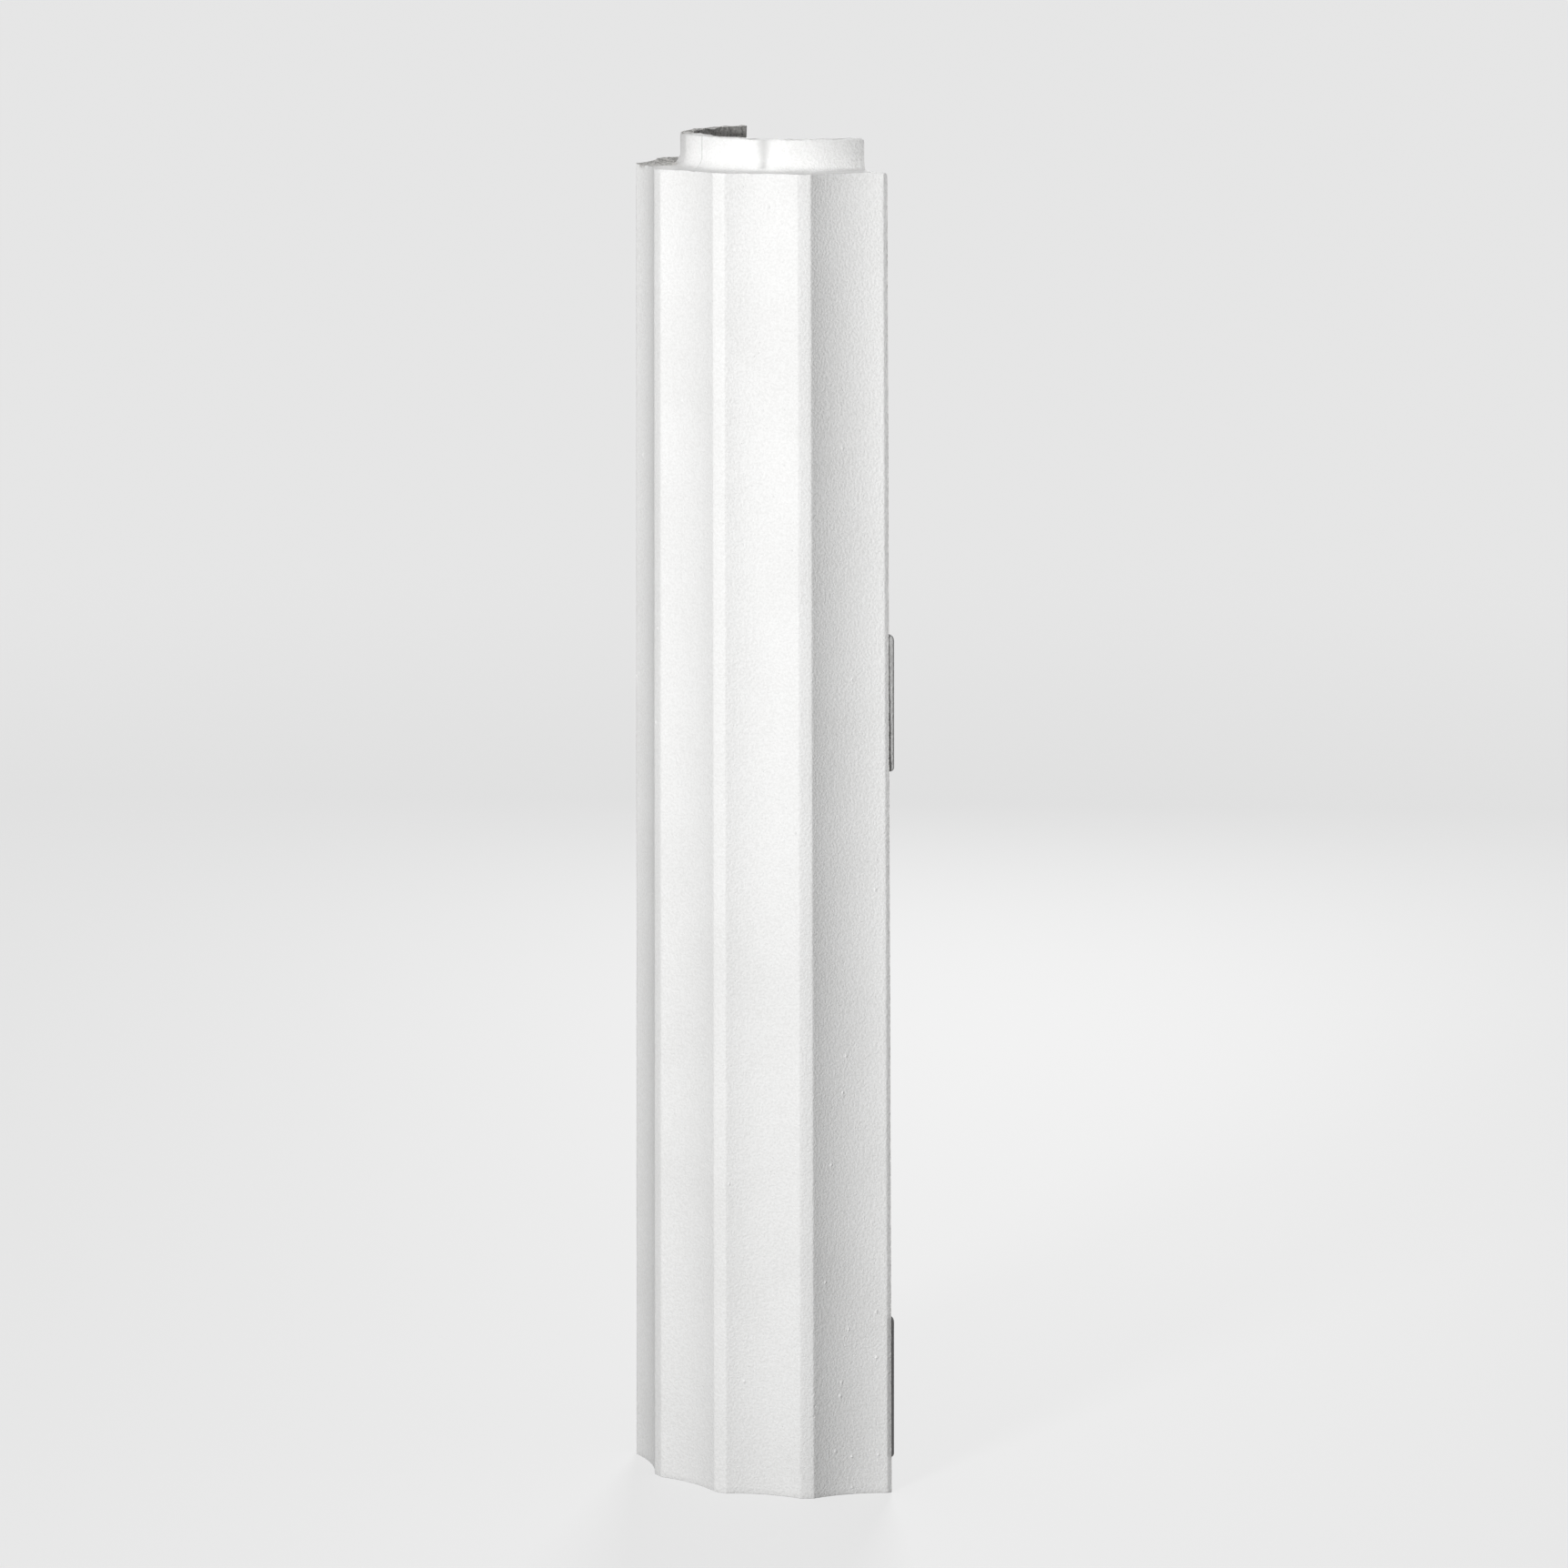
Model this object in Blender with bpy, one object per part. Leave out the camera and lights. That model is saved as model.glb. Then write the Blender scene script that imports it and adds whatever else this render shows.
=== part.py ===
"""A half column shaft: a fluted, tapering half round, cast in one piece in rigid foam.

It is open behind and hollow from end to end. A plain neck stands on its upper ledge, and whatever
comes next drops over it. Tongues on one leg and rebates in the other key two identical halves
together, back to back, into a whole column.
"""

import math

import bmesh
import bpy
from mathutils import Matrix, Vector

# Shaft: a half round that narrows in a straight line from its foot to its ledge
SHAFT_HEIGHT = 1.0
FOOT_RADIUS = 0.132
LEDGE_RADIUS = 0.1257
BACK_TRIM = 0.0016  # what the saw takes off the true half round behind

# Flutes: shallow hollows cut square at both ends, with a flat listel between two of them
FLUTE_COUNT = 6
LISTEL_WIDTH = 0.0104
FLUTE_SINK = 0.0043  # at the foot, below the straight line from listel to listel
FLUTE_FACETS = 10

# Neck: the plain ring that stands on the ledge
NECK_HEIGHT = 0.024
NECK_RADIUS = 0.0925
NECK_WALL = 0.0105
NECK_FILLET = 0.008
FILLET_FACETS = 6
RIM_ROUNDING = 0.002
RIM_FACETS = 3

# Bore: its mouth fits round the same neck on the piece below
SOCKET_CLEARANCE = 0.0015

# Tongues: two keys in one upright line on the right leg, met by two rebates in the left leg
LOWER_TONGUE_FOOT = 0.0255
LOWER_TONGUE_LENGTH = 0.1113
UPPER_TONGUE_FOOT = 0.5537
UPPER_TONGUE_LENGTH = 0.1039
TONGUE_REACH = 0.006
TONGUE_THICKNESS = 0.012
TONGUE_INSET = 0.005  # from the outline at the foot to the tongues' outer side
TONGUE_TOP_CORNER = 0.0055
TONGUE_FOOT_CORNER = 0.003
TONGUE_CORNER_FACETS = 4
TONGUE_EDGE_ROUNDING = 0.0025
TONGUE_EDGE_FACETS = 3
TONGUE_ROOT = 0.0025  # how deep a tongue's block starts inside the leg
REBATE_CLEARANCE = 0.001
REBATE_RUN_OUT = 0.006  # how far past the outline a rebate's cutter reaches

# The column's axis lies behind the middle of the part's depth, tongues included
AXIS_Y = (FOOT_RADIUS + BACK_TRIM - TONGUE_REACH) / 2

# Facets that meet at less than this angle are shaded as one smooth surface
SMOOTH_ANGLE = math.radians(16)

PRIMER_WHITE = (0.83, 0.83, 0.82, 1)
PRIMER_ROUGHNESS = 0.62


def remove_everything():
    """Start from an empty scene."""
    for thing in list(bpy.data.objects):
        bpy.data.objects.remove(thing, do_unlink=True)


def primed_foam():
    """White primer over rigid foam."""
    material = bpy.data.materials.new("primed_foam")
    material.use_nodes = True
    shader = material.node_tree.nodes["Principled BSDF"]
    shader.inputs["Base Color"].default_value = PRIMER_WHITE
    shader.inputs["Roughness"].default_value = PRIMER_ROUGHNESS
    shader.inputs["Metallic"].default_value = 0
    return material


def on_circle(radius, angle):
    """A point on a circle round the axis; the angle runs from +X over the front to -X."""
    return Vector((radius * math.cos(angle), -radius * math.sin(angle)))


def flute_arc(start, end):
    """The hollow of one flute, as an arc between the listel edges at two angles."""
    first, last = on_circle(FOOT_RADIUS, start), on_circle(FOOT_RADIUS, end)
    along = (last - first).normalized()
    middle = (first + last) / 2
    outward = middle.normalized()
    half_chord = (last - first).length / 2
    radius = (half_chord ** 2 + FLUTE_SINK ** 2) / (2 * FLUTE_SINK)
    centre = middle + outward * (radius - FLUTE_SINK)
    half_turn = math.asin(half_chord / radius)
    points = []
    for step in range(FLUTE_FACETS + 1):
        turn = half_turn * (2 * step / FLUTE_FACETS - 1)
        points.append(centre + along * radius * math.sin(turn) - outward * radius * math.cos(turn))
    return points


def fluted_outline():
    """The outline's corners at the foot, from the right leg round the front to the left leg."""
    pitch = math.pi / FLUTE_COUNT
    half_listel = LISTEL_WIDTH / 2 / FOOT_RADIUS
    corners = []
    for flute in range(FLUTE_COUNT):
        corners.append(on_circle(FOOT_RADIUS, flute * pitch))
        corners += flute_arc(flute * pitch + half_listel, (flute + 1) * pitch - half_listel)
    corners.append(on_circle(FOOT_RADIUS, math.pi))
    return corners


def quarter_turn(centre_radius, centre_height, radius, start, end, facets):
    """Points of an arc in the wall's section, as (radius, height)."""
    points = []
    for step in range(facets + 1):
        turn = math.radians(start + (end - start) * step / facets)
        points.append((centre_radius + radius * math.cos(turn), centre_height + radius * math.sin(turn)))
    return points


def wall_section():
    """The wall cut through from foot to rim, as (radius, height): up the outside, down the bore."""
    rim = SHAFT_HEIGHT + NECK_HEIGHT
    socket_radius = NECK_RADIUS + SOCKET_CLEARANCE
    lead_in = NECK_FILLET + SOCKET_CLEARANCE
    points = [(FOOT_RADIUS, 0), (LEDGE_RADIUS, SHAFT_HEIGHT)]
    points += quarter_turn(
        NECK_RADIUS + NECK_FILLET, SHAFT_HEIGHT + NECK_FILLET, NECK_FILLET, 270, 180, FILLET_FACETS
    )
    points += quarter_turn(NECK_RADIUS - RIM_ROUNDING, rim - RIM_ROUNDING, RIM_ROUNDING, 0, 90, RIM_FACETS)
    points.append((NECK_RADIUS - NECK_WALL, rim))
    points.append((socket_radius, lead_in))
    points.append((socket_radius + lead_in, 0))
    return points


def shaft_mesh():
    """Spin the wall's section half way round, press the flutes in and saw the back flat."""
    corners = fluted_outline()
    steps = len(corners) - 1
    section = wall_section()
    shaft = bmesh.new()
    place = shaft.verts.layers.int.new("place")
    for number, (radius, height) in enumerate(section):
        shaft.verts.new((radius, 0, height))[place] = number
    shaft.faces.new(shaft.verts)
    bmesh.ops.spin(
        shaft, geom=shaft.faces[:], cent=(0, 0, 0), axis=(0, 0, 1), angle=-math.pi, steps=steps
    )
    for vert in shaft.verts:
        turn = abs(math.atan2(-vert.co.y, vert.co.x))
        corner = corners[round(turn / math.pi * steps)]
        radius, height = section[vert[place]]
        if vert[place] < 2:
            vert.co.xy = corner * radius / FOOT_RADIUS
        else:
            vert.co.xy = corner.normalized() * radius
    cut = bmesh.ops.bisect_plane(
        shaft, geom=shaft.verts[:] + shaft.edges[:] + shaft.faces[:],
        plane_co=(0, -BACK_TRIM, 0), plane_no=(0, 1, 0), clear_outer=True,
    )
    sawn_edges = [part for part in cut["geom_cut"] if isinstance(part, bmesh.types.BMEdge)]
    bmesh.ops.holes_fill(shaft, edges=sawn_edges, sides=0)
    bmesh.ops.recalc_face_normals(shaft, faces=shaft.faces)
    mesh = bpy.data.meshes.new("half_column_shaft")
    shaft.to_mesh(mesh)
    shaft.free()
    mesh.shade_smooth()
    mesh.set_sharp_from_angle(angle=SMOOTH_ANGLE)
    return mesh


def key_mesh(name, foot, length, outside, spare):
    """A tongue, seen from the back's plane, with a rounded nose and a spare width round it."""
    inside = FOOT_RADIUS - TONGUE_INSET - TONGUE_THICKNESS
    low = Vector((inside - spare, -TONGUE_ROOT, foot - spare))
    high = Vector((outside, TONGUE_REACH + spare, foot + length + spare))
    key = bmesh.new()
    bmesh.ops.create_cube(key, size=1)
    bmesh.ops.scale(key, vec=high - low, verts=key.verts)
    bmesh.ops.translate(key, vec=(low + high) / 2, verts=key.verts)
    for height, corner in ((high.z, TONGUE_TOP_CORNER), (low.z, TONGUE_FOOT_CORNER)):
        nose_end = [
            edge for edge in key.edges
            if all(vert.co.y > 0 and abs(vert.co.z - height) < 1e-5 for vert in edge.verts)
        ]
        bmesh.ops.bevel(
            key, geom=nose_end, offset=corner, offset_type="OFFSET", affect="EDGES",
            segments=TONGUE_CORNER_FACETS, profile=0.5, material=-1,
        )
    long_edges = [
        edge for edge in key.edges
        if any(vert.co.y > 0 for vert in edge.verts) and abs(edge.verts[0].co.x - edge.verts[1].co.x) < 1e-5
    ]
    bmesh.ops.bevel(
        key, geom=long_edges, offset=TONGUE_EDGE_ROUNDING, offset_type="OFFSET", affect="EDGES",
        segments=TONGUE_EDGE_FACETS, profile=0.5, material=-1,
    )
    bmesh.ops.recalc_face_normals(key, faces=key.faces)
    mesh = bpy.data.meshes.new(name)
    key.to_mesh(mesh)
    key.free()
    return mesh


def add_guide(shaft, mesh, operation):
    """Join a block to the shaft, or cut it out, and keep the block itself as a hidden guide."""
    guide = bpy.data.objects.new(mesh.name, mesh)
    guide.parent = shaft
    guide.display_type = "WIRE"
    guide.hide_render = True
    bpy.context.collection.objects.link(guide)
    change = shaft.modifiers.new(mesh.name, "BOOLEAN")
    change.operation = operation
    change.solver = "EXACT"
    change.object = guide


def half_column_shaft():
    """The whole casting: wall, neck, tongues and rebates."""
    shaft = bpy.data.objects.new("half_column_shaft", shaft_mesh())
    shaft.data.materials.append(primed_foam())
    shaft.location = (0, AXIS_Y, 0)
    bpy.context.collection.objects.link(shaft)
    keys = {
        "lower": (LOWER_TONGUE_FOOT, LOWER_TONGUE_LENGTH),
        "upper": (UPPER_TONGUE_FOOT, UPPER_TONGUE_LENGTH),
    }
    to_back = Matrix.Translation((0, -BACK_TRIM, 0))
    for level, (foot, length) in keys.items():
        tongue = key_mesh(f"{level}_tongue", foot, length, FOOT_RADIUS - TONGUE_INSET, 0)
        tongue.transform(to_back)
        add_guide(shaft, tongue, "UNION")
        # The other half's tongue, with room round it, comes in from behind; the rebate is open outside
        rebate = key_mesh(f"{level}_rebate", foot, length, FOOT_RADIUS + REBATE_RUN_OUT, REBATE_CLEARANCE)
        rebate.transform(to_back @ Matrix.Rotation(math.pi, 4, "Z"))
        add_guide(shaft, rebate, "DIFFERENCE")


remove_everything()
half_column_shaft()
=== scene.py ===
# %% [markdown]
# # A half column shaft, cast in rigid foam
#
# This lesson dresses one casting: a fluted half round, a metre tall, that is moulded in rigid foam and
# leaves the mould with a coat of white primer. The solid that it starts from has the right sizes and
# joins. What it lacks is the surface of a real casting: soft arrises, slightly wavy flutes, blisters
# under the paint, bare foam where no paint reaches, and light that shows all of these.
#
# The first cell loads that solid as a fixed frame and keeps its box, so that the last cell can prove
# that the dressed piece still fits in it.

# %% Load the frame
import math
import random

import bmesh
import bpy
from mathutils import Matrix, Vector, kdtree, noise
from mathutils.bvhtree import BVHTree


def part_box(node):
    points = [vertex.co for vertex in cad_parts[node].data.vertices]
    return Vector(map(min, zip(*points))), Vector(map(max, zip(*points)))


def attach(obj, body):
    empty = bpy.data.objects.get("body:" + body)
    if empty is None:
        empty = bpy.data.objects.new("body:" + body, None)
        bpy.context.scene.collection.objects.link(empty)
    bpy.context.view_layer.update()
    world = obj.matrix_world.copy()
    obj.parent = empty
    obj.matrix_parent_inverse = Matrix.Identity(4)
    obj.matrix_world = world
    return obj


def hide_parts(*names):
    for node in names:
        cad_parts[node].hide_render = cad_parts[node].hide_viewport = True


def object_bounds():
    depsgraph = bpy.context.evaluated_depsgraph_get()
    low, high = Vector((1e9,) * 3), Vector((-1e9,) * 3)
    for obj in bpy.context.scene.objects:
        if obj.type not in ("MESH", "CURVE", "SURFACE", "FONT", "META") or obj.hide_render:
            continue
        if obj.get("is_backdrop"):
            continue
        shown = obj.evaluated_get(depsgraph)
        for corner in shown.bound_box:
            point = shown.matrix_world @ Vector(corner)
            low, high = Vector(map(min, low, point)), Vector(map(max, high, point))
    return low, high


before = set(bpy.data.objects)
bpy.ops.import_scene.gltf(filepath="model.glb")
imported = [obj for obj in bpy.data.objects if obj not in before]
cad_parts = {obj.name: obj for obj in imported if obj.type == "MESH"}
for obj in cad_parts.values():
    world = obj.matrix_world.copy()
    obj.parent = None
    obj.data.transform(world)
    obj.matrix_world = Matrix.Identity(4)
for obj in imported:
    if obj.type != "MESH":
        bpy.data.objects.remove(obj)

SOLID = "half_column_shaft"
solid_box = [list(corner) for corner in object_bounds()]
low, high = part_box(SOLID)
print("The solid measures", [round(1000 * (b - a), 1) for a, b in zip(low, high)], "mm")

# %% [markdown]
# ## The camera
#
# The camera comes first, because some of the blisters are placed by where a photograph shows them. A
# camera can be placed by eye, but then every pixel that is read from the picture is a little wrong.
# This one was worked out from the places of edges whose size is known: its distance, height and tilt
# are real lengths and angles, and the focal length is in pixels of a picture 1724 pixels wide. Seen
# from above, it stands 60 degrees round from the front, towards the right leg.

# %% Camera
PHOTO_WIDTH = 1724
FOCAL_PIXELS = 7044.2
SENSOR = 36
FOOT_RADIUS = 0.132
AXIS = Vector((0, low.y + FOOT_RADIUS, 0))
CAMERA_AZIMUTH = math.radians(60)
CAMERA_DISTANCE = 4.8243
CAMERA_ASIDE = 0.0158
CAMERA_HEIGHT = 1.3354
CAMERA_TILT = math.radians(9.5187)
CAMERA_ROLL = math.radians(-0.165)


def round_the_axis(azimuth, distance, height):
    """A place that faces the axis from an azimuth: 0 is in front and 90 is on the right."""
    turned = Matrix.Rotation(azimuth, 3, "Z") @ Vector((0, -distance, height))
    return AXIS + turned


def add_camera():
    """A camera at the picture's own place, with the focal length that its pixels give."""
    lens = bpy.data.cameras.new("camera")
    lens.sensor_width = SENSOR
    lens.lens = FOCAL_PIXELS * SENSOR / PHOTO_WIDTH
    camera = bpy.data.objects.new("camera", lens)
    bpy.context.scene.collection.objects.link(camera)
    turn = Matrix.Rotation(CAMERA_AZIMUTH, 4, "Z")
    aside = turn @ Vector((-CAMERA_ASIDE, 0, 0))
    place = Matrix.Translation(round_the_axis(CAMERA_AZIMUTH, CAMERA_DISTANCE, CAMERA_HEIGHT) + aside)
    tilt = Matrix.Rotation(math.radians(90) - CAMERA_TILT, 4, "X")
    roll = Matrix.Rotation(CAMERA_ROLL, 4, "Z")
    camera.matrix_world = place @ turn @ tilt @ roll
    bpy.context.scene.camera = camera
    return camera


def photo_ray(camera, across, down):
    """Where the line through a pixel of the picture starts, and which way it runs."""
    middle = PHOTO_WIDTH / 2
    through = Vector((across - middle, middle - down, -FOCAL_PIXELS))
    world = camera.matrix_world
    return world.translation.copy(), (world.to_3x3() @ through).normalized()


camera = add_camera()
bpy.context.view_layer.update()
print("The camera stands at", [round(value, 3) for value in camera.location])

# %% [markdown]
# ## The fluted outline
#
# On the real shaft, the six flutes and the flat listels between them come straight from the mould. An
# outline like this could be typed in as points, but every flute is the same arc, so it is drawn
# instead: a single vertex is carried round a centre with `spin`, and it leaves edges behind. It goes
# round the column's axis for a listel and round the flute's own centre, outside the column, for a
# hollow. The vertices where one arc hands over to the next are marked, because the arrises stand there.

# %% Draw with one vertex
UP = Vector((0, 0, 1))
FLUTE_COUNT = 6
LISTEL_WIDTH = 0.0104
FLUTE_SINK = 0.0043
FLUTE_STEPS = 28
LISTEL_STEPS = 4
PAINT_ROOM = 0.0001  # the casting stays this far inside the solid's round
SKIN_RADIUS = FOOT_RADIUS - PAINT_ROOM


def draw_arc(work, vert, centre, turn, steps, axis=UP):
    """Carry a vertex round a centre, drawing edges behind it, and return the last vertex."""
    made = bmesh.ops.spin(
        work, geom=[vert], cent=centre, axis=axis, angle=turn, steps=steps, use_merge=False
    )
    return next(part for part in made["geom_last"] if isinstance(part, bmesh.types.BMVert))


def draw_line(work, vert, place):
    """Draw a straight edge from a vertex to a place, and return the vertex there."""
    tip = bmesh.ops.extrude_vert_indiv(work, verts=[vert])["verts"][0]
    bmesh.ops.translate(work, verts=[tip], vec=Vector(place) - tip.co)
    return tip


def draw_outline(work, arris):
    """The outline at the foot, from the right leg round the front to the left leg."""
    pitch = math.pi / FLUTE_COUNT
    half_listel = LISTEL_WIDTH / 2 / FOOT_RADIUS
    half_flute = pitch / 2 - half_listel
    half_chord = SKIN_RADIUS * math.sin(half_flute)
    flute_radius = (half_chord ** 2 + FLUTE_SINK ** 2) / (2 * FLUTE_SINK)
    reach = SKIN_RADIUS * math.cos(half_flute) + flute_radius - FLUTE_SINK
    sweep = 2 * math.asin(half_chord / flute_radius)
    tip = work.verts.new((SKIN_RADIUS, 0, 0))
    corners = []
    for flute in range(FLUTE_COUNT):
        middle = (flute + 0.5) * pitch
        centre = Matrix.Rotation(-middle, 3, "Z") @ Vector((reach, 0, 0))
        tip = draw_arc(work, tip, (0, 0, 0), -half_listel, LISTEL_STEPS // 2)
        corners.append(tip)
        tip = draw_arc(work, tip, centre, sweep, FLUTE_STEPS)
        corners.append(tip)
        tip = draw_arc(work, tip, (0, 0, 0), -half_listel, LISTEL_STEPS // 2)
    # Marked only now, because spin hands a vertex's mark on to its copies
    for corner in corners:
        corner[arris] = 1
    return work.edges[:]


casting = bmesh.new()
arris_mark = casting.verts.layers.int.new("arris")
outline = draw_outline(casting, arris_mark)
print("The outline has", len(outline), "edges and", sum(v[arris_mark] for v in casting.verts), "arrises")

# %% [markdown]
# ## From the outline to the wall
#
# The shaft narrows in a straight line from its foot to its ledge. Extruding the outline once and
# scaling the copy gives that taper exactly, and `subdivide_edges` then cuts the long faces into rows,
# which the waves in the surface need later. Extruding row by row would give the same mesh, with a
# scale to work out for every row.

# %% Raise the fluted skin
SHAFT_HEIGHT = 1.0
LEDGE_RADIUS = 0.1257
SKIN_ROWS = 200
A_HAIR = 0.0001
SNAP = A_HAIR / 10  # a cut keeps to the vertices that lie this near


def level(part, height):
    """True if every vertex of an edge or face lies at a height."""
    return all(abs(vert.co.z - height) < A_HAIR for vert in part.verts)


def raise_skin(work, edges):
    """Extrude the outline up to the ledge, narrowing it on the way."""
    made = bmesh.ops.extrude_edge_only(work, edges=edges)["geom"]
    top = [part for part in made if isinstance(part, bmesh.types.BMVert)]
    taper = LEDGE_RADIUS / FOOT_RADIUS
    bmesh.ops.translate(work, verts=top, vec=(0, 0, SHAFT_HEIGHT))
    bmesh.ops.scale(work, verts=top, vec=(taper, taper, 1))


raise_skin(casting, outline)
print("The skin rises in", len(casting.faces), "faces, from foot to ledge")

# %% [markdown]
# ## Neck, rim and bore
#
# The plain ring on the ledge is a neck: the next piece of the column drops over it, and the bore of
# this one fits the neck of the piece below. Neck and bore are turned shapes, so their section is drawn
# once, with the same two pens as the outline, and spun half way round the axis. It is spun in as many
# steps as the outline has edges, so that `bridge_loops` can close the ledge and the foot with one
# four-sided face for each step.

# %% Spin the neck and the bore
NECK_HEIGHT = 0.024
NECK_RADIUS = 0.0925
NECK_WALL = 0.0105
NECK_FILLET = 0.008
FILLET_STEPS = 6
RIM_ROUNDING = 0.002
RIM_STEPS = 3
SOCKET_CLEARANCE = 0.0015
RIM_HEIGHT = SHAFT_HEIGHT + NECK_HEIGHT
SOCKET_RADIUS = NECK_RADIUS + SOCKET_CLEARANCE
LEAD_IN = NECK_FILLET + SOCKET_CLEARANCE


def draw_section(work):
    """The wall's inner section: out of the ledge, over the rim and down the bore to the foot."""
    across = Vector((0, 1, 0))
    quarter = math.radians(90)
    fillet_centre = (NECK_RADIUS + NECK_FILLET, 0, SHAFT_HEIGHT + NECK_FILLET)
    rim_centre = (NECK_RADIUS - RIM_ROUNDING, 0, RIM_HEIGHT - RIM_ROUNDING)
    before = set(work.edges)
    tip = work.verts.new((NECK_RADIUS + NECK_FILLET, 0, SHAFT_HEIGHT))
    tip = draw_arc(work, tip, fillet_centre, quarter, FILLET_STEPS, across)
    tip = draw_line(work, tip, (NECK_RADIUS, 0, RIM_HEIGHT - RIM_ROUNDING))
    tip = draw_arc(work, tip, rim_centre, -quarter, RIM_STEPS, across)
    tip = draw_line(work, tip, (NECK_RADIUS - NECK_WALL, 0, RIM_HEIGHT))
    tip = draw_line(work, tip, (SOCKET_RADIUS, 0, LEAD_IN))
    draw_line(work, tip, (SOCKET_RADIUS + LEAD_IN, 0, 0))
    return [edge for edge in work.edges if edge not in before]


def spin_section(work, steps):
    """Turn the section half way round the axis, from the right leg over the front to the left."""
    edges = draw_section(work)
    bmesh.ops.spin(
        work, geom=edges, cent=(0, 0, 0), axis=UP, angle=-math.pi, steps=steps, use_merge=False
    )


def close_between(work, height):
    """Bridge the outline and the turned section where both end at one height."""
    ends = [edge for edge in work.edges if edge.is_boundary and level(edge, height)]
    bmesh.ops.bridge_loops(work, edges=ends)


spin_section(casting, len(outline))
close_between(casting, SHAFT_HEIGHT)
close_between(casting, 0)
bmesh.ops.recalc_face_normals(casting, faces=casting.faces)
print("Skin, neck, bore, ledge and foot make", len(casting.faces), "faces")

# %% [markdown]
# ## Rows for the surface to move in
#
# A face that runs from foot to ledge can't wave. Each group of long edges is cut into rows that suit
# it: 5 mm up the skin, about as much on the neck and the ledge, and twice that in the bore, which is
# seen less. The edges are told apart by where they run, not by a list of numbers.

# %% Cut the long faces into rows
NECK_ROWS = 5
BORE_ROWS = 90
FLAT_ROWS = 8


def out_from_axis(vert):
    """How far a vertex is from the axis."""
    return vert.co.xy.length


def rise(edge):
    """How far an edge climbs."""
    return abs(edge.verts[0].co.z - edge.verts[1].co.z)


def is_skin(edge):
    """True for the edges that run up the fluted skin."""
    return abs(rise(edge) - SHAFT_HEIGHT) < A_HAIR


def is_bore(edge):
    """True for the edges that run up the bore."""
    return abs(rise(edge) - (RIM_HEIGHT - LEAD_IN)) < A_HAIR


def is_neck(edge):
    """True for the edges that run up the neck's plain wall."""
    return abs(rise(edge) - (NECK_HEIGHT - NECK_FILLET - RIM_ROUNDING)) < A_HAIR


def is_flat(edge):
    """True for the edges that run across the ledge and the foot."""
    wide = abs(out_from_axis(edge.verts[0]) - out_from_axis(edge.verts[1])) > NECK_WALL
    return wide and (level(edge, SHAFT_HEIGHT) or level(edge, 0))


def cut_rows(work, belongs, rows):
    """Cut every edge of a group into the same number of rows."""
    edges = [edge for edge in work.edges if belongs(edge)]
    bmesh.ops.subdivide_edges(work, edges=edges, cuts=rows - 1, use_grid_fill=True)


for belongs, rows in ((is_skin, SKIN_ROWS), (is_bore, BORE_ROWS), (is_neck, NECK_ROWS), (is_flat, FLAT_ROWS)):
    cut_rows(casting, belongs, rows)
print("Cut into rows, the casting has", len(casting.faces), "faces")

# %% [markdown]
# ## Soft arrises
#
# No mould gives a knife edge, and paint rounds what the mould leaves. On the real shaft, the arrises
# are still crisp, so the bevel is only about half a millimetre wide, in two steps. It runs along both
# sides of every listel, round the ledge and the foot, and round the inner edge of the rim. It comes
# after the rows, because a bevel that ends in a long face would stop the rows from lining up. The
# operator's defaults aren't the editor's, so its profile, segments and the rest are given.

# %% Bevel the arrises
ARRIS = 0.0006
ARRIS_STEPS = 2
SHARP_TURN = math.radians(60)  # the flats meet the walls at more than this


def is_arris(edge):
    """True for the edges that the mould leaves sharp."""
    flute_side = all(vert[arris_mark] for vert in edge.verts) and rise(edge) > A_HAIR
    inner = out_from_axis(edge.verts[0]) < NECK_RADIUS - RIM_ROUNDING - A_HAIR
    angle = edge.calc_face_angle(0)
    rim_of_flat = angle > SHARP_TURN and (level(edge, 0) or level(edge, SHAFT_HEIGHT))
    return flute_side or (inner and level(edge, RIM_HEIGHT)) or rim_of_flat


def round_off(work, edges, width, steps):
    """Bevel edges to a round of this width."""
    bmesh.ops.bevel(
        work, geom=edges, offset=width, offset_type="OFFSET", affect="EDGES",
        segments=steps, profile=0.5, material=-1, clamp_overlap=True,
    )


arrises = [edge for edge in casting.edges if is_arris(edge)]
round_off(casting, arrises, ARRIS, ARRIS_STEPS)
print("Bevelled", len(arrises), "edges; the casting has", len(casting.faces), "faces")

# %% [markdown]
# ## The surface as cast
#
# A moulded skin is never quite true: it shrinks a little as the foam cools, more in the thick places
# than in the thin ones. Where no paint reaches, on the ledge, under the foot and in the bore, the foam
# is lumpy as well, and ragged on the far left. Both come from pushing every vertex along its normal by
# a smooth noise. The skin is only pushed inwards, so the casting never grows out of its box, and the
# foot stays flat.

# %% Waves and lumps
WAVE_DEPTH = 0.0003
WAVE_LENGTH = 0.09
LUMP_DEPTH = 0.0005
LUMP_LENGTH = 0.007
LUMP_OCTAVES = 3
LUMP_SINK = 0.6  # how far below the skin the lumps lie on average, as a share of their depth
RAGGED_FROM, RAGGED_TO = math.radians(95), math.radians(125)
RAGGED = 1.5  # how much deeper the lumps get on the far left
FACING_UP = 0.7  # least z of a normal that counts as the ledge's or the rim's
FACING_DOWN = -0.95  # and greatest z of one that counts as the foot's


def angle_round(vert):
    """The angle round the axis, from the right leg over the front to the left leg."""
    return math.atan2(-vert.co.y, vert.co.x)


def ease(value, start, end):
    """0 before start and 1 after end, with a soft turn between them."""
    share = min(max((value - start) / (end - start), 0), 1)
    return share * share * (3 - 2 * share)


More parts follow.
